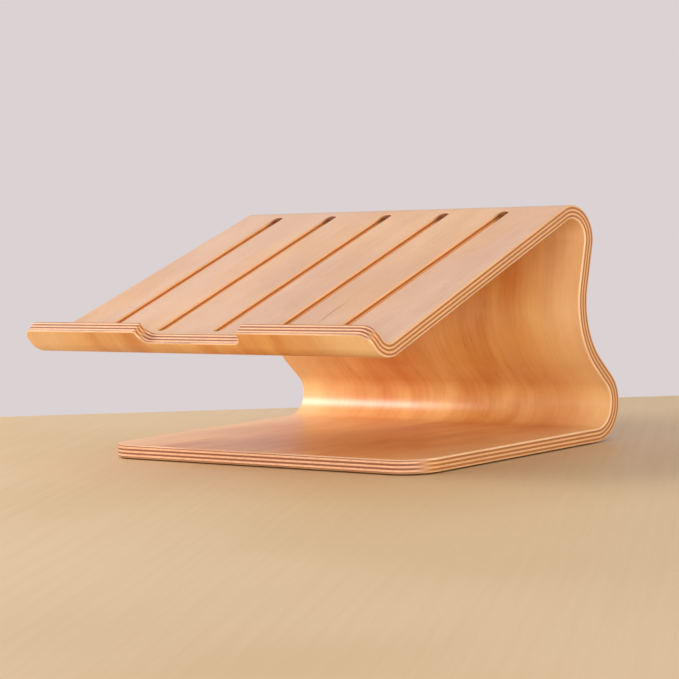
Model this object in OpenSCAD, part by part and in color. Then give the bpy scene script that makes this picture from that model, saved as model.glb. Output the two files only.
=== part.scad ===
// Bent plywood laptop stand: one moulded board of seven veneers that folds from a flat base,
// round a rear bend and a waist, over a crest and down a sloping deck to an upturned lip.
// X runs across the stand, Y from the lip to the back and Z up from the table.
// The origin is the middle of the footprint, at table height.

/* [Overall size] */
// Width across the lip, the widest place
lip_w = 273; // [240:1:300]
// Width across the crest
crest_w = 255; // [240:1:265]
// Width across the base and the rear bend
rear_w = 249; // [230:1:260]
// Depth from the lip to the rear bend
depth = 236.7; // [225:0.1:250]
// Height of the crest above the table
height = 141; // [130:0.1:155]

/* [Plywood] */
// Thickness of one veneer
veneer_t = 1.15; // [1:0.05:1.3]

/* [Side profile] */
// Distance from the lip back to the front edge of the base
base_front = 50; // [40:1:90]
// Inside radius of the rear bend
rear_r = 14.5; // [10:0.5:18]
// Radius of the waist, on its hollow side
waist_r = 47.5; // [35:0.5:55]
// Distance from the lip back to the centre of the waist radius
waist_back = 254; // [248:0.5:262]
// Height of the centre of the waist radius
waist_up = 82.5; // [76:0.5:88]
// Inside radius of the crest
crest_r = 12; // [9:0.1:18]
// Distance from the lip back to the centre of the crest
crest_back = 193.5; // [185:0.5:200]
// Inside radius of the valley behind the lip
valley_r = 8; // [6:0.5:14]
// Height of the centre of the valley radius
valley_up = 84; // [78:0.5:92]
// Straight length of the lip above the valley bend
lip_len = 10; // [9:0.5:16]
// Lean of the lip forward from upright, in degrees
lip_lean = 40; // [25:1:50]

/* [Outline] */
// Radius of the two front corners of the base
base_corner_r = 20; // [5:1:30]
// Radius of the two top corners of the lip
lip_corner_r = 7.5; // [2:0.5:9]
// Width of the finger notch in the lip
notch_w = 80; // [50:1:120]
// Depth of the notch below the edge of the lip
notch_depth = 8.5; // [5:0.5:9]
// Radius in the two bottom corners of the notch
notch_r = 7; // [2:0.5:8]

/* [Vent slots] */
// Number of slots through the deck
slot_count = 5; // [3:2:5]
// Width of a slot
slot_w = 6.4; // [4.5:0.1:9]
// Distance between the centre lines of two slots
slot_pitch = 45.5; // [30:0.5:48]
// Distance that the slots sit to the left of the middle
slot_shift = 4.5; // [0:0.5:8]
// Distance from the lip back to the front end of the slots
slot_front = 32; // [28:1:60]
// Distance from the lip back to the rear end of the slots
slot_rear = 186; // [150:1:187]

/* [Anti-slip pads] */
// Diameter of a pad
pad_d = 14; // [8:1:20]
// Thickness of a pad, which is the gap under the base
pad_t = 0.8; // [0.6:0.1:2]
// Distance from a pad's centre to the base's side edge
pad_inset = 20; // [14:1:40]

/* [Hidden] */

// Seven veneers: the odd ones have their grain along the bends, the even ones across.
veneer_count = 7;
board_t = veneer_count * veneer_t;
half_t = board_t / 2;
arc_step = 4;
over = 1;

// Everything below measures Y from the middle of the depth.
front_y = -depth / 2;
base_front_y = front_y + base_front;
crest_y = front_y + crest_back;
slot_front_y = front_y + slot_front;
slot_rear_y = front_y + slot_rear;

// The board's middle surface runs like a belt round four rollers, [y, z, radius, turn],
// where turn is 1 for a bend to the left, seen with Y to the right, and -1 for the right.
lip_dir = 90 + lip_lean;
valley_y = front_y + lip_len * sin(lip_lean) + (valley_r + board_t) * cos(lip_lean);
rollers = [
    [depth / 2 - rear_r - board_t, pad_t + board_t + rear_r, rear_r + half_t, 1],
    [front_y + waist_back, waist_up, waist_r + half_t, -1],
    [crest_y, height - crest_r - board_t, crest_r + half_t, 1],
    [valley_y, valley_up, valley_r + half_t, -1],
];

// Direction of the straight run from roller a to roller b.
function run_dir(a, b) =
    let(dy = b[0] - a[0], dz = b[1] - a[1])
    atan2(dz, dy) - asin((b[3] * b[2] - a[3] * a[2]) / norm([dy, dz]));

// The directions of the five runs: base, lower rear, upper rear, deck and lip.
rear_dir = run_dir(rollers[0], rollers[1]);
upper_dir = run_dir(rollers[1], rollers[2]);
deck_dir = run_dir(rollers[2], rollers[3]) + 360;
run_dirs = [0, rear_dir, upper_dir, deck_dir, lip_dir];
deck_slope = deck_dir - 180;

// The unit normal of a run, on the side of the base's top, the lip's front and the inside.
function inner_normal(dir) = [-sin(dir), cos(dir)];

// The point on roller r where the board runs in direction dir, off the middle surface.
function roller_point(r, dir, off) = [r[0], r[1]] + (off - r[3] * r[2]) * inner_normal(dir);

// The points of one bend, from the run before it to the run after it.
function bend(i, off) =
    let(a = run_dirs[i], b = run_dirs[i + 1], n = ceil(abs(b - a) / arc_step))
    [for (k = [0:n]) roller_point(rollers[i], a + (b - a) * k / n, off)];

// Where the middle surface ends at the edge of the lip.
lip_end = roller_point(rollers[3], lip_dir, 0) + lip_len * [cos(lip_dir), sin(lip_dir)];
deck_start = roller_point(rollers[3], deck_dir, 0);

// The whole side outline at a distance off the middle surface, from base front to lip edge.
function outline(off) = concat(
    [[base_front_y, pad_t + half_t + off]],
    [for (i = [0:3], p = bend(i, off)) p],
    [lip_end + off * inner_normal(lip_dir)]);

function backwards(list) = [for (i = [len(list) - 1:-1:0]) list[i]];

// A solid that runs across the whole width, from a side outline in Y and Z.
module across(width) {
    rotate([90, 0, 90])
        translate([0, 0, -width / 2])
            linear_extrude(width)
                children();
}

// One veneer at full width, between two distances off the middle surface.
module bent_sheet(inner, outer) {
    across(lip_w + 2 * over)
        polygon(concat(outline(inner), backwards(outline(outer))));
}

// Height that divides the base from the lip and deck above it.
split_z = pad_t + board_t + over;
rear_y = rollers[0][0];
back_y = depth / 2 + over;
top_z = height + over;

// Plan of the base, with round front corners.
module base_plan() {
    r = base_corner_r;
    for (side = [-1, 1])
        translate([side * (rear_w / 2 - r), base_front_y + r])
            circle(r, $fn = 72);
    translate([r - rear_w / 2, base_front_y])
        square([rear_w - 2 * r, 2 * r]);
    translate([-rear_w / 2, base_front_y + r])
        square([rear_w, back_y - base_front_y - r]);
}

// Plan of the lip and deck, narrowing from the valley to the crest.
module deck_plan() {
    polygon([
        [-lip_w / 2, front_y - over], [lip_w / 2, front_y - over],
        [lip_w / 2, valley_y], [crest_w / 2, crest_y],
        [-crest_w / 2, crest_y], [-lip_w / 2, valley_y]]);
}

// Front view of the upright, widening from the rear bend to the crest.
module upright_view() {
    polygon([
        [-rear_w / 2, split_z], [rear_w / 2, split_z],
        [rear_w / 2, rollers[0][1]], [crest_w / 2, rollers[2][1]], [crest_w / 2, top_z],
        [-crest_w / 2, top_z], [-crest_w / 2, rollers[2][1]], [-rear_w / 2, rollers[0][1]]]);
}

// The space that the trimmed board may fill.
module trim_space() {
    linear_extrude(split_z)
        base_plan();
    translate([0, 0, split_z])
        linear_extrude(top_z - split_z)
            deck_plan();
    translate([0, back_y, 0])
        rotate([90, 0, 0])
            linear_extrude(back_y - crest_y)
                upright_view();
}

// Places children in the plane of the lip: X across, Y up the lip from its edge, Z outward.
module on_lip() {
    translate([0, lip_end[0], lip_end[1]])
        rotate([lip_dir, 0, 0])
            children();
}

// Cuts the finger notch, with round bottom corners.
module notch_cutter() {
    r = notch_r;
    on_lip()
        translate([0, 0, -board_t])
            linear_extrude(2 * board_t) {
                translate([-notch_w / 2, r - notch_depth])
                    square([notch_w, notch_depth - r + over]);
                translate([r - notch_w / 2, -notch_depth])
                    square([notch_w - 2 * r, notch_depth + over]);
                for (side = [-1, 1])
                    translate([side * (notch_w / 2 - r), r - notch_depth])
                        circle(r, $fn = 48);
            }
}

// Cuts the two top corners of the lip round.
module lip_corner_cutter() {
    r = lip_corner_r;
    on_lip()
        for (side = [-1, 1])
            translate([side * (lip_w / 2 - r), -r, -board_t])
                difference() {
                    translate([side * (r / 2 + over), r / 2 + over, board_t])
                        cube([r + 2 * over, r + 2 * over, 2 * board_t], center = true);
                    translate([0, 0, -over])
                        cylinder(h = 2 * board_t + 2 * over, r = r, $fn = 72);
                }
}

// Cuts the vent slots square through the deck, with round ends.
module slot_cutters() {
    slot_len = (slot_rear_y - slot_front_y) / cos(deck_slope);
    mid_y = (slot_front_y + slot_rear_y) / 2;
    mid_z = deck_start[1] + (mid_y - deck_start[0]) * tan(deck_slope);
    for (i = [0:slot_count - 1])
        translate([(i - (slot_count - 1) / 2) * slot_pitch - slot_shift, mid_y, mid_z])
            rotate([deck_slope, 0, 0])
                translate([0, 0, -board_t])
                    linear_extrude(2 * board_t) {
                        square([slot_w, slot_len - slot_w], center = true);
                        for (end = [-1, 1])
                            translate([0, end * (slot_len - slot_w) / 2])
                                circle(slot_w / 2, $fn = 32);
                    }
}

// Veneer n, counted from the inner face of the board, bent, trimmed and cut.
module veneer(n) {
    inner = half_t - (n - 1) * veneer_t;
    outer = inner - veneer_t;
    difference() {
        intersection() {
            bent_sheet(inner, outer);
            trim_space();
        }
        notch_cutter();
        lip_corner_cutter();
        slot_cutters();
    }
}

module veneer_1_inner_face() {
    color([0.80, 0.56, 0.31]) veneer(1);
}

module veneer_2_cross() {
    color([0.64, 0.40, 0.19]) veneer(2);
}

module veneer_3_long() {
    color([0.95, 0.71, 0.46]) veneer(3);
}

module veneer_4_core() {
    color([0.64, 0.40, 0.19]) veneer(4);
}

module veneer_5_long() {
    color([0.95, 0.71, 0.46]) veneer(5);
}

module veneer_6_cross() {
    color([0.64, 0.40, 0.19]) veneer(6);
}

module veneer_7_outer_face() {
    color([0.88, 0.71, 0.57]) veneer(7);
}

// A thin round rubber pad, stuck under the base near one corner.
module pad(side, end) {
    rear_pad_y = rear_y - pad_d / 2;
    front_pad_y = base_front_y + pad_inset;
    pad_y = end < 0 ? front_pad_y : rear_pad_y;
    color([0.16, 0.15, 0.14])
        translate([side * (rear_w / 2 - pad_inset), pad_y, 0])
            cylinder(h = pad_t, d = pad_d, $fn = 64);
}

module pad_front_left() {
    pad(-1, -1);
}

module pad_front_right() {
    pad(1, -1);
}

module pad_rear_left() {
    pad(-1, 1);
}

module pad_rear_right() {
    pad(1, 1);
}

veneer_1_inner_face();
veneer_2_cross();
veneer_3_long();
veneer_4_core();
veneer_5_long();
veneer_6_cross();
veneer_7_outer_face();
pad_front_left();
pad_front_right();
pad_rear_left();
pad_rear_right();
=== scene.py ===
import math

import bpy
import numpy as np
from mathutils import Matrix, Vector
from mathutils.geometry import delaunay_2d_cdt


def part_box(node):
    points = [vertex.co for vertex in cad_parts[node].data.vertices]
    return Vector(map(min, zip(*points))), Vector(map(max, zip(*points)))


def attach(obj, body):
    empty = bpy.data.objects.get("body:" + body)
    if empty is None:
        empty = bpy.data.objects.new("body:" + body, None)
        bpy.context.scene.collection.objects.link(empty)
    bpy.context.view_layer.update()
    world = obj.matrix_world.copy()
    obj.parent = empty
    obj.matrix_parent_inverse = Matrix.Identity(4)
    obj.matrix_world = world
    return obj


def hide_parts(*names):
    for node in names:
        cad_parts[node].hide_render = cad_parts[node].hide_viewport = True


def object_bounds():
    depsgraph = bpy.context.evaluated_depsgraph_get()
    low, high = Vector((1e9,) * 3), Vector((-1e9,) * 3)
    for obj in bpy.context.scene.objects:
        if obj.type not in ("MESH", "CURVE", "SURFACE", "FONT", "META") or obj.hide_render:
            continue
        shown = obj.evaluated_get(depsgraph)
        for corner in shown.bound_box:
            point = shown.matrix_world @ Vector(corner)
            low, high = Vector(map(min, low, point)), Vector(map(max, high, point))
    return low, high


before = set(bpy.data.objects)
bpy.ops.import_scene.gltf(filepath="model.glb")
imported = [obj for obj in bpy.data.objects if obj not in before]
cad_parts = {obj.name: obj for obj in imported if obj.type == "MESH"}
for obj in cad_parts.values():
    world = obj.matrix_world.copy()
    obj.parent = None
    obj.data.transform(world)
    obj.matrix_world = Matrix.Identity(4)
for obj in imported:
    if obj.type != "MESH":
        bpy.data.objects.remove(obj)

CAD_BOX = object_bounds()
MM = 0.001

# Overall size, from the frame
FRONT_Y = CAD_BOX[0].y
DEPTH = CAD_BOX[1].y - CAD_BOX[0].y
HEIGHT = CAD_BOX[1].z
LIP_W = CAD_BOX[1].x - CAD_BOX[0].x
PAD_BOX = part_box("pad_front_left")
PAD_T = PAD_BOX[1].z - PAD_BOX[0].z

# Widths
CREST_W = 255 * MM
REAR_W = 249 * MM

# Plywood
VENEER_COUNT = 7
VENEER_T = 1.15 * MM
BOARD_T = VENEER_COUNT * VENEER_T
HALF_T = BOARD_T / 2
ARRIS_R = 0.9 * MM

# Side profile
BASE_FRONT = 50 * MM
REAR_R = 14.5 * MM
WAIST_R = 47.5 * MM
WAIST_BACK = 254 * MM
WAIST_UP = 82.5 * MM
CREST_R = 12 * MM
CREST_BACK = 193.5 * MM
VALLEY_R = 8 * MM
VALLEY_UP = 84 * MM
LIP_LEN = 10 * MM
LIP_LEAN = math.radians(40)

# Outline
BASE_CORNER_R = 20 * MM
LIP_CORNER_R = 7.5 * MM
NOTCH_W = 80 * MM
NOTCH_DEPTH = 8.5 * MM
NOTCH_R = 7 * MM
NOTCH_LIP_R = 1.3 * MM

# Vent slots
SLOT_COUNT = 5
SLOT_W = 6.4 * MM
SLOT_PITCH = 45.5 * MM
SLOT_SHIFT = 4.5 * MM
SLOT_FRONT = 32 * MM
SLOT_REAR = 186 * MM

# Mesh spacing
BEND_STEP = math.radians(4)
COLUMN_STEP = 14 * MM
EDGE_GAP = 2.5 * MM
ARC_POINTS = 12
ARRIS_STEPS = 4
SLOPE_STEP = 0.05 * MM
SAME_LINE = 0.001 * MM
MERGE_GAP = 1e-7

# Places worked out from the driving dimensions
BASE_FRONT_Y = FRONT_Y + BASE_FRONT
CREST_Y = FRONT_Y + CREST_BACK
REAR_Y = FRONT_Y + DEPTH - REAR_R - BOARD_T
REAR_Z = PAD_T + BOARD_T + REAR_R
CREST_Z = HEIGHT - CREST_R - BOARD_T
VALLEY_Y = FRONT_Y + LIP_LEN * math.sin(LIP_LEAN) + (VALLEY_R + BOARD_T) * math.cos(LIP_LEAN)
ABOVE_BASE_Z = PAD_T + BOARD_T + 1 * MM

# The middle surface runs like a belt round four rollers: y, z, radius and turn, 1 for left.
ROLLERS = [
    (REAR_Y, REAR_Z, REAR_R + HALF_T, 1),
    (FRONT_Y + WAIST_BACK, WAIST_UP, WAIST_R + HALF_T, -1),
    (CREST_Y, CREST_Z, CREST_R + HALF_T, 1),
    (VALLEY_Y, VALLEY_UP, VALLEY_R + HALF_T, -1),
]


def run_heading(a, b):
    """Direction of the straight run from roller a to roller b, in the YZ plane."""
    dy, dz = b[0] - a[0], b[1] - a[1]
    return math.atan2(dz, dy) - math.asin((b[3] * b[2] - a[3] * a[2]) / math.hypot(dy, dz))


def normal(heading):
    """Unit normals (y, z) toward the inside of the bends, for directions of travel."""
    return np.stack([-np.sin(heading), np.cos(heading)], axis=-1)


def forward(heading):
    """Unit vectors (y, z) along directions of travel."""
    return np.stack([np.cos(heading), np.sin(heading)], axis=-1)


def roller_point(roller, heading):
    """Where the middle surface leaves or meets a roller, running in a direction."""
    return np.array(roller[:2]) - roller[3] * roller[2] * normal(heading)


def board_path():
    """The runs and bends of the middle surface: start s, start point, heading and curl."""
    lower = run_heading(ROLLERS[0], ROLLERS[1])
    upper = run_heading(ROLLERS[1], ROLLERS[2])
    deck = run_heading(ROLLERS[2], ROLLERS[3]) + 2 * math.pi
    headings = [0.0, lower, upper, deck, math.pi / 2 + LIP_LEAN]
    point = np.array([BASE_FRONT_Y, PAD_T + HALF_T])
    path, s = [], 0.0
    for roller, before, after in zip(ROLLERS, headings, headings[1:]):
        path.append((s, point, before, 0.0))
        bend_start = roller_point(roller, before)
        s += np.linalg.norm(bend_start - point)
        path.append((s, bend_start, before, roller[3] / roller[2]))
        s += abs(after - before) * roller[2]
        point = roller_point(roller, after)
    path.append((s, point, headings[-1], 0.0))
    return path, s + LIP_LEN


PATH, BOARD_LEN = board_path()
PATH_S = np.array([p[0] for p in PATH])
DECK = PATH[-3]
DECK_SLOPE = DECK[2] - math.pi


def path_parts(s):
    """For each s: start point, heading and curl of its run or bend, and how far s is past it."""
    found = np.clip(np.searchsorted(PATH_S, s, side="right") - 1, 0, len(PATH) - 1)
    start = np.array([p[1] for p in PATH])[found]
    heading = np.array([p[2] for p in PATH])[found]
    curl = np.array([p[3] for p in PATH])[found]
    return start, heading, curl, s - PATH_S[found]


def heading_at(s):
    """Direction of travel of the middle surface at each s."""
    _, heading, curl, ahead = path_parts(s)
    return heading + curl * ahead


def board_point(s, d):
    """Y and Z of board points, from s along the middle surface and d off it."""
    start, heading, curl, ahead = path_parts(s)
    turned = heading + curl * ahead
    bent = np.abs(curl) > 0
    safe = np.where(bent, curl, 1.0)[:, None]
    round_part = (normal(heading) - normal(turned)) / safe
    straight_part = ahead[:, None] * forward(heading)
    middle = start + np.where(bent[:, None], round_part, straight_part)
    return middle + np.asarray(d)[:, None] * normal(turned)


def half_width(y, z):
    """Half of the board's width, which tapers from the lip to the crest and on to the base."""
    upright = np.interp(z, [REAR_Z, CREST_Z], [REAR_W / 2, CREST_W / 2])
    deck = np.interp(y, [VALLEY_Y, CREST_Y], [LIP_W / 2, CREST_W / 2])
    return np.where((y >= CREST_Y) | (z < ABOVE_BASE_Z), upright, deck)


def arc(x, s, r, first, last, inward=False, count=ARC_POINTS):
    """Outline points of a round corner as (x, s, normal x, normal s), from angle to angle."""
    sign = -1 if inward else 1
    for k in range(count + 1):
        a = math.radians(first + (last - first) * k / count)
        yield (x + r * math.cos(a), s + r * math.sin(a), sign * math.cos(a), sign * math.sin(a))


def bend_lines():
    """The s of each line across the board that its bends need, with their two ends."""
    lines = []
    for part, (s, _, heading, curl) in enumerate(PATH):
        if curl:
            length = PATH_S[part + 1] - s
            count = math.ceil(abs(curl) * length / BEND_STEP)
            lines += [s + length * k / count for k in range(count + 1)]
    return lines


def side_x(s, d=None):
    """Distance of the side edge from the plane x = 0, on the middle surface unless d is given."""
    at = board_point(s, np.zeros(len(s)) if d is None else d)
    return half_width(at[:, 0], at[:, 1])


def side_points(first, last):
    """Outline points up the right side, one on each bend line."""
    s = np.array([line for line in bend_lines() if first < line < last])
    lean = (side_x(s + SLOPE_STEP) - side_x(s - SLOPE_STEP)) / (2 * SLOPE_STEP)
    size = np.hypot(1, lean)
    return list(zip(side_x(s), s, 1 / size, -lean / size))


def outer_outline():
    """The board's developed outline as (x, s, normal x, normal s), and which points are sides."""
    r = BASE_CORNER_R
    lip_side = LIP_W / 2 - LIP_CORNER_R
    notch_side = NOTCH_W / 2 + NOTCH_LIP_R
    fillet_x = NOTCH_W / 2 - NOTCH_R
    fillet_s = BOARD_LEN - NOTCH_DEPTH + NOTCH_R
    sides = side_points(r, BOARD_LEN - LIP_CORNER_R)
    right = list(arc(REAR_W / 2 - r, r, r, -90, 0))
    first_side = len(right)
    right += sides
    last_side = len(right)
    right += arc(lip_side, BOARD_LEN - LIP_CORNER_R, LIP_CORNER_R, 0, 90)
    right += arc(notch_side, BOARD_LEN - NOTCH_LIP_R, NOTCH_LIP_R, 90, 180, count=5)
    right += arc(fillet_x, fillet_s, NOTCH_R, 0, -90, inward=True)
    left = [(-x, s, -nx, ns) for x, s, nx, ns in reversed(right)]
    is_side = np.zeros(len(right), dtype=bool)
    is_side[first_side:last_side] = True
    return np.array(right + left), np.concatenate([is_side, is_side[::-1]])


def deck_s(back):
    """The s of a place on the deck that lies some way back from the lip."""
    return DECK[0] + (DECK[1][0] - FRONT_Y - back) / math.cos(DECK_SLOPE)


def slot_outlines():
    """The developed outlines of the vent slots, clockwise, as (x, s, normal x, normal s)."""
    front_s, rear_s = deck_s(SLOT_FRONT), deck_s(SLOT_REAR)
    r = SLOT_W / 2
    for i in range(SLOT_COUNT):
        x = (i - (SLOT_COUNT - 1) / 2) * SLOT_PITCH - SLOT_SHIFT
        ends = list(arc(x, front_s - r, r, 180, 0, inward=True))
        ends += arc(x, rear_s + r, r, 0, -180, inward=True)
        yield np.array(ends)


def inside(points, loops):
    """Which points lie inside the outline and outside the holes, by counting crossings."""
    odd = np.zeros(len(points), dtype=bool)
    x, s = points[:, 0], points[:, 1]
    for loop in loops:
        after = np.roll(loop, -1, axis=0)
        for (ax, a), (bx, b) in zip(loop[:, :2], after[:, :2]):
            crosses = (a > s) != (b > s)
            if crosses.any():
                odd ^= crosses & (x < ax + (s - a) * (bx - ax) / (b - a if b != a else 1))
    return odd


def edge_distance(points, loops):
    """Distance from each point to the nearest outline, with its straight stretches."""
    near = np.full(len(points), np.inf)
    for loop in loops:
        a, b = loop[:, :2], np.roll(loop[:, :2], -1, axis=0)
        along, off = b - a, points[:, None] - a[None]
        share = np.clip((off * along).sum(-1) / (along ** 2).sum(-1), 0, 1)
        gap = np.linalg.norm(off - share[..., None] * along, axis=-1)
        near = np.minimum(near, gap.min(axis=1))
    return near


def column_points(lines, loops):
    """Points inside the outline: columns on each bend line, and a grid on the flat runs."""
    stops = sorted(lines)
    gaps = list(zip([0.0] + stops, stops + [BOARD_LEN]))
    rows = list(stops)
    for a, b in gaps:
        count = math.ceil((b - a) / COLUMN_STEP)
        rows += [a + (b - a) * k / count for k in range(1, count)]
    half = math.ceil(LIP_W / 2 / COLUMN_STEP)
    grid = np.array([(i * COLUMN_STEP, s) for s in rows for i in range(-half, half + 1)])
    grid = grid[inside(grid, loops)]
    return grid[edge_distance(grid, loops) > EDGE_GAP]


def cap_triangles(loops, fine):
    """Inner points, and triangles that use the outlines' points and then the inner points."""
    edge = np.concatenate([loop[:, :2] for loop in loops])
    extra = column_points(bend_lines(), loops) if fine else np.zeros((0, 2))
    points = np.concatenate([edge, extra])
    edges, start = [], 0
    for loop in loops:
        n = len(loop)
        edges += [(start + k, start + (k + 1) % n) for k in range(n)]
        start += n
    for s in bend_lines():
        on_line = np.flatnonzero(np.abs(points[:, 1] - s) < SAME_LINE)
        across = on_line[np.argsort(points[on_line, 0])]
        edges += list(zip(across.tolist(), across[1:].tolist()))
    made = delaunay_2d_cdt([Vector(p) for p in points], edges, [], 0, MERGE_GAP)
    if len(made[0]) != len(points):
        raise ValueError("the outline crosses itself")
    source = [ids[0] for ids in made[3]]
    triangles = np.array([[source[v] for v in face] for face in made[2]])
    return extra, triangles[inside(points[triangles].mean(axis=1), loops)]


def veneer_rings(n):
    """The rings of veneer n as (d, inset, tilt of the normal), from its inner to outer face."""
    inner = HALF_T - (n - 1) * VENEER_T
    outer = inner - VENEER_T
    tilts = [math.pi / 2 * k / ARRIS_STEPS for k in range(ARRIS_STEPS + 1)]
    quarter = [(HALF_T - ARRIS_R + ARRIS_R * math.sin(t), ARRIS_R * (1 - math.cos(t)), t)
               for t in tilts]
    if n == 1:
        return quarter[::-1] + [(outer, 0.0, 0.0)]
    if n == VENEER_COUNT:
        return [(inner, 0.0, 0.0)] + [(-d, inset, -t) for d, inset, t in quarter]
    return [(inner, 0.0, 0.0), (outer, 0.0, 0.0)]


def veneer_places(rings, edge, is_side, inner):
    """Board points: the outlines on every ring, then the inner points on both faces."""
    side = is_side.nonzero()[0]
    places = []
    for d, inset, _ in rings:
        place = np.column_stack([edge[:, :2] - inset * edge[:, 2:], np.full(len(edge), d)])
        true_x = side_x(edge[side, 1], place[side, 2])
        place[side, 0] = np.sign(edge[side, 0]) * (true_x - inset * np.abs(edge[side, 2]))
        places.append(place)
    for d, _, _ in (rings[0], rings[-1]):
        places.append(np.column_stack([inner, np.full(len(inner), d)]))
    return np.concatenate(places)


def cap_faces(triangles, edge_count, first_edge, first_inner, sign):
    """The triangles of one face, with its own point numbers, wound to suit its side."""
    ids = np.where(triangles < edge_count, triangles + first_edge,
                   triangles - edge_count + first_inner)
    return (ids if sign > 0 else ids[:, ::-1]).tolist()


def wall_corners(loops, ring_count):
    """The four corners of each face of the walls, as pairs of ring and outline point."""
    start = 0
    for loop in loops:
        for k in range(len(loop)):
            a, b = start + k, start + (k + 1) % len(loop)
            for r in range(ring_count - 1):
                yield (r, a), (r + 1, a), (r + 1, b), (r, b)
        start += len(loop)


def veneer_mesh(n):
    """Mesh of veneer n, with exact normals and the attributes that its finish uses.

    The attribute grain holds each point's board point. The attribute edge holds, at each
    corner, how much it is a wall, how far the wall faces along s, and how round the arris is.
    """
    outline, is_side = outer_outline()
    loops = [outline] + list(slot_outlines())
    edge = np.concatenate(loops)
    is_side = np.concatenate([is_side, np.zeros(len(edge) - len(is_side), dtype=bool)])
    inner, triangles = cap_triangles(loops, fine=n in (1, VENEER_COUNT))
    rings = veneer_rings(n)
    place = veneer_places(rings, edge, is_side, inner)

    heading = heading_at(place[:, 1])
    up = np.column_stack([np.zeros(len(place)), normal(heading)])
    ahead = np.column_stack([np.zeros(len(place)), forward(heading)])
    points = np.column_stack([place[:, 0], board_point(place[:, 1], place[:, 2])])

    faces, normals, kinds = [], [], []
    first_inner = len(rings) * len(edge)
    last_ring = (len(rings) - 1) * len(edge)
    for first_edge, skip, sign in ((0, 0, 1), (last_ring, len(inner), -1)):
        cap = cap_faces(triangles, len(edge), first_edge, first_inner + skip, sign)
        faces += cap
        normals += [sign * up[v] for face in cap for v in face]
        kinds += [(0.0, 0.0, 0.0)] * (3 * len(cap))
    for corners in wall_corners(loops, len(rings)):
        faces.append([ring * len(edge) + v for ring, v in corners])
        for ring, v in corners:
            tilt, nx, ns = rings[ring][2], edge[v, 2], edge[v, 3]
            out = np.array([nx, 0, 0]) + ns * ahead[v]
            normals.append(math.cos(tilt) * out + math.sin(tilt) * up[v])
            kinds.append((math.cos(tilt), abs(ns), abs(math.sin(2 * tilt))))

    mesh = bpy.data.meshes.new(f"plywood_{n}")
    mesh.from_pydata(points.tolist(), [], faces)
    grain = mesh.attributes.new("grain", "FLOAT_VECTOR", "POINT")
    grain.data.foreach_set("vector", place.ravel())
    kind = mesh.attributes.new("edge", "FLOAT_VECTOR", "CORNER")
    kind.data.foreach_set("vector", np.array(kinds).ravel())
    mesh.shade_smooth()
    mesh.normals_split_custom_set([tuple(v) for v in normals])
    mesh.validate()
    return mesh


# Node helpers

class Shader:
    """A material's node tree, with a short way to add and link nodes."""

    def __init__(self, name):
        self.material = bpy.data.materials.new(name)
        self.material.use_nodes = True
        self.tree = self.material.node_tree
        self.surface = self.tree.nodes["Principled BSDF"]

    def put(self, socket, value):
        """Links a socket to another, or sets it to a number or colour."""
        if isinstance(value, bpy.types.NodeSocket):
            self.tree.links.new(value, socket)
        else:
            socket.default_value = value

    def math(self, operation, a, b=0.0, c=0.0):
        node = self.tree.nodes.new("ShaderNodeMath")
        node.operation = operation
        for socket, value in zip(node.inputs, (a, b, c)):
            self.put(socket, value)
        return node.outputs[0]

    def vector(self, operation, a, b):
        node = self.tree.nodes.new("ShaderNodeVectorMath")
        node.operation = operation
        self.put(node.inputs[0], a)
        self.put(node.inputs[1], b)
        return node.outputs[0]

    def noise(self, place, scale, detail=2.0, rough=0.5, shift=(0.0, 0.0, 0.0)):
        """Noise from 0 to 1, with its own scale along x, s and d, in cycles per metre."""
        scaled = self.vector("MULTIPLY", place, scale)
        node = self.tree.nodes.new("ShaderNodeTexNoise")
        self.put(node.inputs["Vector"], self.vector("ADD", scaled, shift))
        node.inputs["Scale"].default_value = 1.0
        node.inputs["Detail"].default_value = detail
        node.inputs["Roughness"].default_value = rough
        return node.outputs["Fac"]

    def span(self, value, low, high, to_low=0.0, to_high=1.0, smooth=True):
        """Maps low..high to to_low..to_high, held at both ends."""
        node = self.tree.nodes.new("ShaderNodeMapRange")
        node.interpolation_type = "SMOOTHSTEP" if smooth else "LINEAR"
        for name, x in zip(("Value", "From Min", "From Max", "To Min", "To Max"),
                           (value, low, high, to_low, to_high)):
            self.put(node.inputs[name], x)
        return node.outputs["Result"]

    def mix(self, amount, a, b, blend="MIX"):
        """Mixes two colours."""
        node = self.tree.nodes.new("ShaderNodeMix")
        node.data_type = "RGBA"
        node.blend_type = blend
        self.put(node.inputs["Factor"], amount)
        self.put(node.inputs[6], a)
        self.put(node.inputs[7], b)
        return node.outputs[2]

    def attribute(self, name):
        node = self.tree.nodes.new("ShaderNodeAttribute")
        node.attribute_name = name
        return node.outputs["Vector"]

    def parts(self, vector):
        node = self.tree.nodes.new("ShaderNodeSeparateXYZ")
        self.put(node.inputs[0], vector)
        return node.outputs

    def bump(self, height, distance, strength=1.0, onto=None):
        node = self.tree.nodes.new("ShaderNodeBump")
        node.inputs["Strength"].default_value = strength
        node.inputs["Distance"].default_value = distance
        self.put(node.inputs["Height"], height)
        if onto is not None:
            self.put(node.inputs["Normal"], onto)
        return node.outputs[0]


def srgb(r, g, b):
    """A linear colour from sRGB values out of 255."""
    def linear(c):
        c /= 255
        return c / 12.92 if c <= 0.04045 else ((c + 0.055) / 1.055) ** 2.4
    return (linear(r), linear(g), linear(b), 1.0)


def darker(colour, share):
    """A colour with its brightness cut to a share."""
    return tuple(c * share for c in colour[:3]) + (1.0,)


# The wood's noises, in cycles per metre: across the grain, along it and through the board
FIGURE = (11, 2.2, 40)
CLOUD = (26, 14, 60)
PATCH = (16, 8, 20)
FIBRE = (620, 16, 900)
BAND = (120, 3.5, 300)
PORE = (1500, 130, 1500)

# The noises of the edges and of the lacquer, in cycles per metre along x, s and d
CUT = (300, 60, 900)
CUT_ENDS = (1300, 1300, 1300)
RIPPLE = (45, 9, 45)

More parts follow.
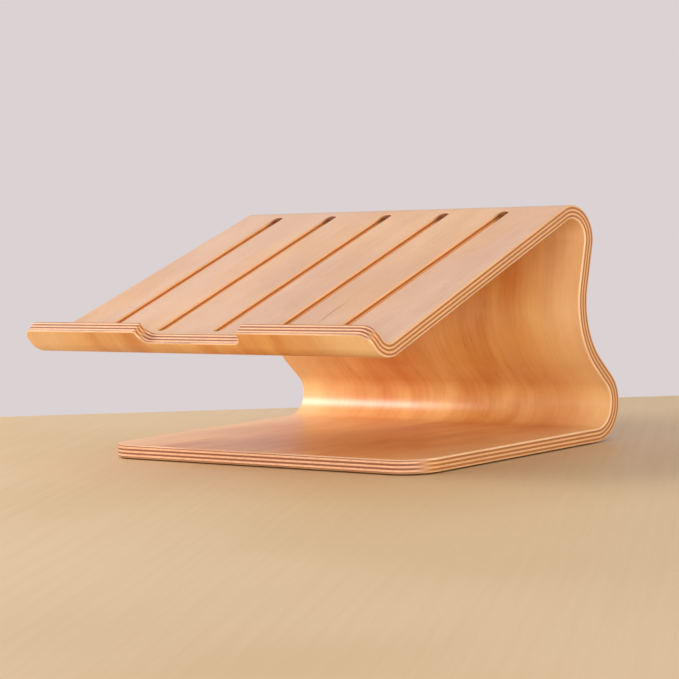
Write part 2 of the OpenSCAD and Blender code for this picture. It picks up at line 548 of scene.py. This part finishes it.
# Marks on the wood, painted light and shade among them: colours, places and sizes
CONTOURS = 46.0
GOLDEN = srgb(236, 196, 96)
SIDE_LIGHT_COLOUR = srgb(246, 210, 158)
SIDE_LIGHT_FROM = 65 * MM
SIDE_LIGHT_TO = 122 * MM
GLUE = srgb(140, 84, 50)
GLUE_HALF_W = 0.09
PAINTED_SLOT_SHADE = srgb(112, 52, 26)
SLOT_SHADE_LEN = 12 * MM
PAST_SLOTS = 105 * MM
STREAK_COLOUR = srgb(120, 72, 48)
STREAK_X = 64 * MM
STREAK_S = deck_s(56 * MM)
STREAK_HALF_W = 1.0 * MM
STREAK_HALF_LEN = 17 * MM
STREAK_WANDER = 0.6 * MM
STREAK_WAVES = 150.0


class Wood(Shader):
    """The finish of one kind of veneer. Its grain runs along s, or across where not along."""

    def __init__(self, name, seed, along):
        super().__init__(name)
        self.along = along
        self.seeds = (seed * 3.7, seed * 5.3, seed * 1.9)
        self.grain = self.attribute("grain")
        self.x, self.s, self.d = self.parts(self.grain)
        self.wall, self.edge_s, self.rounding = self.parts(self.attribute("edge"))
        self.cloud = self.grained(CLOUD, 3.0, 0.6, self.seeds)
        self.fibre = self.grained(FIBRE, 3.0, 0.65, self.seeds)
        self.pores = self.span(self.grained(PORE, 1.0, 0.5, self.seeds), 0.66, 0.78)
        ends = (0.0, 1.0) if along else (1.0, 0.0)
        self.end_grain = self.span(self.edge_s, 0.25, 0.8, *ends)

    def grained(self, scale, detail, rough, shift):
        """Noise that is stretched along the veneer's grain."""
        across, along, through = scale
        pair = (across, along) if self.along else (along, across)
        return self.noise(self.grain, (*pair, through), detail, rough, shift)


def wood(name, seed, along, pale, deep, edge_pale, edge_deep, figure=1.0, streak=False, side_light_share=0.0):
    """Satin-lacquered rotary-cut veneer, with its cut edges, arrises paled by wear and on the inner
    face by a painted highlight, and painted light toward the side edges where asked.
    """
    m = Wood(name, seed, along)
    face = face_colour(m, pale, deep, figure)
    # Painted light: the face turns paler toward the board's side edges.
    face = m.mix(painted_side_light(m, side_light_share), face, SIDE_LIGHT_COLOUR)
    if streak:
        face = mineral_streak(m, face)
    edge = edge_colour(m, edge_pale, edge_deep, deep)
    colour = m.mix(m.span(m.wall, 0.25, 0.85), face, edge)
    # Paler arrises: wear, and on the inner face a painted rim highlight, as its pale edge colour is
    # one.
    arris_wear_and_highlight = m.math("MULTIPLY", m.rounding, m.span(m.cloud, 0.3, 0.65, 0.2, 0.6))
    m.put(m.surface.inputs["Base Color"], m.mix(arris_wear_and_highlight, colour, edge_pale))
    lacquer(m)
    return m.material


def face_colour(m, pale, deep, figure):
    """Broad contours of a peeled log, then clouds, fibres, bands and short dark pores."""
    slow = m.grained(FIGURE, 2.0, 0.55, m.seeds)
    contour = m.span(m.math("SINE", m.math("MULTIPLY", slow, CONTOURS)), -0.9, 1.0)
    band = m.grained(BAND, 2.0, 0.6, m.seeds)
    amount = m.math("MULTIPLY", contour, 0.2 * figure)
    amount = m.math("MULTIPLY_ADD", m.span(m.cloud, 0.32, 0.72), 0.5 * figure, amount)
    amount = m.math("MULTIPLY_ADD", m.span(m.fibre, 0.3, 0.7), 0.16, amount)
    amount = m.math("MULTIPLY_ADD", m.span(band, 0.35, 0.7), 0.08, amount)
    face = m.mix(amount, pale, deep)
    patch = m.grained(PATCH, 2.0, 0.5, m.seeds[::-1])
    face = m.mix(m.span(patch, 0.38, 0.66, 0.0, 0.3), face, GOLDEN, "SOFT_LIGHT")
    return m.mix(m.math("MULTIPLY", m.pores, 0.38), face, darker(deep, 0.45))


def painted_side_light(m, most):
    """How much painted light pales the face toward the board's side edges."""
    return m.span(m.math("ABSOLUTE", m.x), SIDE_LIGHT_FROM, SIDE_LIGHT_TO, 0.0, most)


def mineral_streak(m, face):
    """A thin brown mark along the grain, part way down the deck."""
    from_x = m.math("SUBTRACT", m.x, STREAK_X)
    from_s = m.math("SUBTRACT", m.s, STREAK_S)
    wave = m.math("SINE", m.math("MULTIPLY", m.s, STREAK_WAVES))
    wander = m.math("ADD", from_x, m.math("MULTIPLY", wave, STREAK_WANDER))
    near_x = m.span(m.math("ABSOLUTE", wander), 0.2 * MM, STREAK_HALF_W, 1.0, 0.0)
    near_s = m.span(m.math("ABSOLUTE", from_s), 6 * MM, STREAK_HALF_LEN, 1.0, 0.0)
    return m.mix(m.math("MULTIPLY", m.math("MULTIPLY", near_x, near_s), 0.55), face, STREAK_COLOUR)


def edge_colour(m, pale, deep, face_deep):
    """Pale where the cut runs with the grain and dark where it shows end grain."""
    lengthwise = m.span(m.noise(m.grain, CUT, 2.0, 0.6, m.seeds), 0.3, 0.7)
    cut = m.mix(m.math("MULTIPLY", lengthwise, 0.4), pale, face_deep)
    ends = m.span(m.noise(m.grain, CUT_ENDS, 2.0, 0.6, m.seeds), 0.35, 0.7)
    rough_cut = m.mix(m.math("MULTIPLY", ends, 0.55), deep, darker(deep, 0.55))
    edge = m.mix(m.end_grain, cut, rough_cut)
    edge = m.mix(glue_line(m), edge, GLUE)
    # Painted shade browns the rear ends of the slots' walls.
    return m.mix(painted_slot_shade(m), edge, PAINTED_SLOT_SHADE)


def glue_line(m):
    """How much glue shows where two veneers meet. Its width is a share of a veneer's thickness."""
    layers = m.math("DIVIDE", m.math("SUBTRACT", HALF_T, m.d), VENEER_T)
    joint = m.math("MINIMUM", m.math("MAXIMUM", m.math("ROUND", layers), 1.0), VENEER_COUNT - 1.0)
    off = m.math("ABSOLUTE", m.math("SUBTRACT", layers, joint))
    return m.span(off, 0.02, GLUE_HALF_W, 0.35, 0.0)


def painted_slot_shade(m):
    """How far painted shade darkens the slots' walls, at their rear ends."""
    in_row = m.span(m.math("ABSOLUTE", m.x), PAST_SLOTS, PAST_SLOTS + 10 * MM, 1.0, 0.0)
    from_end = m.math("ABSOLUTE", m.math("SUBTRACT", m.s, deck_s(SLOT_REAR)))
    return m.math("MULTIPLY", in_row, m.span(from_end, 2 * MM, SLOT_SHADE_LEN, 0.8, 0.0))


def lacquer(m):
    """Satin lacquer, duller over pores and cut edges, on a slightly uneven surface."""
    dull = m.math("MULTIPLY_ADD", m.fibre, 0.12, 0.36)
    dull = m.math("MULTIPLY_ADD", m.pores, 0.1, dull)
    dull = m.math("MULTIPLY_ADD", m.wall, 0.12, dull)
    dull = m.math("MULTIPLY_ADD", m.math("MULTIPLY", m.wall, m.end_grain), 0.1, dull)
    m.put(m.surface.inputs["Roughness"], dull)
    m.surface.inputs["IOR"].default_value = 1.5
    m.surface.inputs["Coat Weight"].default_value = 0.35
    m.surface.inputs["Coat Roughness"].default_value = 0.3
    ripple = m.noise(m.grain, RIPPLE, 2.0, 0.5, m.seeds)
    relief = m.bump(ripple, 0.25 * MM, 0.25)
    relief = m.bump(m.math("SUBTRACT", m.fibre, m.pores), 0.05 * MM, 0.5, relief)
    m.put(m.surface.inputs["Normal"], relief)


def rubber(name):
    """Dark moulded rubber, with a fine speckle and a matt skin."""
    m = Shader(name)
    place = m.tree.nodes.new("ShaderNodeTexCoord").outputs["Object"]
    grit = m.noise(place, (2600, 2600, 2600), 3.0, 0.6)
    patch = m.noise(place, (160, 160, 160), 2.0, 0.5)
    colour = m.mix(m.span(grit, 0.4, 0.75), srgb(44, 42, 40), srgb(74, 71, 68))
    colour = m.mix(m.math("MULTIPLY", m.span(patch, 0.4, 0.7), 0.4), colour, srgb(92, 84, 74))
    m.put(m.surface.inputs["Base Color"], colour)
    m.put(m.surface.inputs["Roughness"], m.span(grit, 0.2, 0.8, 0.62, 0.85))
    m.put(m.surface.inputs["Normal"], m.bump(grit, 0.06 * MM, 0.6))
    return m.material


def add_object(name, data, material=None):
    """Puts new data in the scene as an object."""
    made = bpy.data.objects.new(name, data)
    bpy.context.scene.collection.objects.link(made)
    if material is not None:
        data.materials.append(material)
    return made


# The board

EDGE_PALE = srgb(250, 194, 132)
EDGE_DEEP = srgb(148, 88, 56)
VENEERS = [
    ("veneer_1_inner_face", "inner_face_veneer"),
    ("veneer_2_cross", "cross_veneer"),
    ("veneer_3_long", "long_veneer"),
    ("veneer_4_core", "cross_veneer"),
    ("veneer_5_long", "long_veneer"),
    ("veneer_6_cross", "cross_veneer"),
    ("veneer_7_outer_face", "outer_face_veneer"),
]


def build_board():
    """The seven veneers, each with the finish of its kind."""
    finishes = {
        # The inner face's pale edge colour is a painted rim highlight on its walls and arris; its
        # last setting paints light toward the side edges.
        "inner_face_veneer": wood("inner_face", 1, True, srgb(238, 188, 120), srgb(200, 118, 50),
                                  srgb(255, 216, 168), EDGE_DEEP, side_light_share=0.5),
        # The outer face's pale, pinkish colours are partly its own wood and partly a painted sheen
        # of the lacquer.
        "outer_face_veneer": wood("outer_face", 2, True, srgb(213, 176, 145), srgb(190, 145, 110),
                                  EDGE_PALE, EDGE_DEEP, figure=0.8, streak=True),
        "long_veneer": wood("long_grain", 3, True, srgb(236, 188, 130), srgb(214, 156, 98),
                            EDGE_PALE, EDGE_DEEP),
        "cross_veneer": wood("cross_grain", 4, False, srgb(226, 176, 120), srgb(200, 140, 84),
                             srgb(238, 186, 142), srgb(190, 120, 62)),
    }
    for n, (node, slot) in enumerate(VENEERS, start=1):
        piece = add_object(f"wood_{n}", veneer_mesh(n), finishes[slot])
        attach(piece, "root")
        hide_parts(node)


# The pads

PAD_RIM_R = 0.3 * MM
PAD_DISH = 0.18 * MM
PAD_DISH_SLOPE = 0.14 * MM
PAD_TURNS = 64


def pad_profile(r, top):
    """Radius and height of the points from the dish in the foot, round the rim, to the top."""
    dish = [(0.45 * r, PAD_DISH), (0.55 * r, PAD_DISH_SLOPE), (0.62 * r, 0.0)]
    rim = [(r - PAD_RIM_R + PAD_RIM_R * math.sin(a), PAD_RIM_R - PAD_RIM_R * math.cos(a))
           for a in (math.pi / 2 * k / 4 for k in range(5))]
    return dish + rim + [(r, top)]


def pad_mesh(box):
    """A moulded pad with a dished foot and a rounded rim, turned about its own axis."""
    centre = (box[0] + box[1]) / 2
    profile = pad_profile((box[1].x - box[0].x) / 2, box[1].z)
    points, faces = [(centre.x, centre.y, PAD_DISH), (centre.x, centre.y, box[1].z)], []
    for k in range(PAD_TURNS):
        a = 2 * math.pi * k / PAD_TURNS
        points += [(centre.x + p * math.cos(a), centre.y + p * math.sin(a), z) for p, z in profile]
    size = len(profile)
    for k in range(PAD_TURNS):
        here, there = 2 + k * size, 2 + (k + 1) % PAD_TURNS * size
        faces.append((0, there, here))
        faces += [(here + j, there + j, there + j + 1, here + j + 1) for j in range(size - 1)]
        faces.append((1, here + size - 1, there + size - 1))
    mesh = bpy.data.meshes.new("pad")
    mesh.from_pydata(points, [], faces)
    mesh.shade_smooth()
    mesh.set_sharp_from_angle(angle=math.radians(50))
    return mesh


def build_pads():
    """The four pads, each in its own place from the frame."""
    finish = rubber("pad_rubber")
    for place in ("front_left", "front_right", "rear_left", "rear_right"):
        piece = add_object(f"rubber_{place}", pad_mesh(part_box(f"pad_{place}")), finish)
        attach(piece, "root")
        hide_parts(f"pad_{place}")


# The studio

CAMERA_PLACE = (1.0127, -1.1058, 0.1705)
CAMERA_YAW = math.radians(42.2)
CAMERA_DOWN = math.radians(3.93)
CAMERA_ROLL = math.radians(-2.71)
CAMERA_LENS = 134.7
SENSOR_W = 36
FLOOR_TURN = math.radians(9.5)


def build_camera():
    """A long lens at the front right, a little above the crest, with a slight roll."""
    data = bpy.data.cameras.new("camera")
    data.lens = CAMERA_LENS
    data.sensor_width = SENSOR_W
    data.clip_start = 0.05
    camera = add_object("camera", data)
    turn = Matrix.Rotation(CAMERA_YAW, 4, "Z")
    tilt = Matrix.Rotation(math.pi / 2 - CAMERA_DOWN, 4, "X")
    roll = Matrix.Rotation(CAMERA_ROLL, 4, "Z")
    camera.matrix_world = Matrix.Translation(CAMERA_PLACE) @ turn @ tilt @ roll
    bpy.context.scene.camera = camera


def build_floor():
    """A pale table top, whose far edge lies a short way behind the stand."""
    m = Shader("floor")
    place = m.tree.nodes.new("ShaderNodeTexCoord").outputs["Object"]
    soft = m.noise(place, (3, 3, 3), 2.0)
    streaks = m.noise(place, (160, 5, 5), 3.0, 0.6)
    colour = m.mix(m.span(soft, 0.3, 0.7), srgb(212, 188, 148), srgb(203, 178, 134))
    colour = m.mix(m.math("MULTIPLY", m.span(streaks, 0.35, 0.7), 0.12), colour, srgb(192, 164, 118))
    m.put(m.surface.inputs["Base Color"], colour)
    m.put(m.surface.inputs["Roughness"], m.span(streaks, 0.2, 0.8, 0.52, 0.62))

    behind, toward, aside, thick = 0.29, 1.9, 1.5, 0.02
    corners = [(-aside, -toward), (aside, -toward), (aside, behind), (-aside, behind)]
    points = [(x, y, z) for z in (0.0, -thick) for x, y in corners]
    faces = [(0, 1, 2, 3), (7, 6, 5, 4)]
    faces += [(k, k + 4, (k + 1) % 4 + 4, (k + 1) % 4) for k in range(4)]
    mesh = bpy.data.meshes.new("floor")
    mesh.from_pydata(points, [], faces)
    floor = add_object("floor", mesh, m.material)
    floor.rotation_euler.z = CAMERA_YAW - FLOOR_TURN


def build_light(name, place, aim, size, power, colour):
    """A rectangular soft light at a place, turned toward a point."""
    data = bpy.data.lights.new(name, "AREA")
    data.shape = "RECTANGLE"
    data.size, data.size_y = size
    data.energy = power
    data.color = colour
    light = add_object(name, data)
    light.location = place
    light.rotation_euler = (Vector(aim) - Vector(place)).to_track_quat("-Z", "Y").to_euler()


def build_lights():
    """A high window at the left, a low front light, a weak right one and an even pale room."""
    middle = (0.0, 0.0, 0.07)
    build_light("window", (-1.11, -0.66, 0.8), middle, size=(0.6, 0.5), power=15,
                colour=(1.0, 0.98, 0.97))
    build_light("front", (0.9, -1.6, 0.22), middle, size=(1.4, 0.4), power=13,
                colour=(1.0, 0.98, 0.93))
    build_light("right", (1.5, -0.6, 0.35), middle, size=(0.8, 0.6), power=4,
                colour=(1.0, 0.97, 0.93))
    world = bpy.data.worlds.new("studio")
    world.use_nodes = True
    back = world.node_tree.nodes["Background"]
    back.inputs["Color"].default_value = srgb(219, 210, 211)
    back.inputs["Strength"].default_value = 1.0
    bpy.context.scene.world = world
    bpy.context.scene.view_settings.view_transform = "Standard"


build_board()
build_pads()
build_camera()
build_floor()
build_lights()
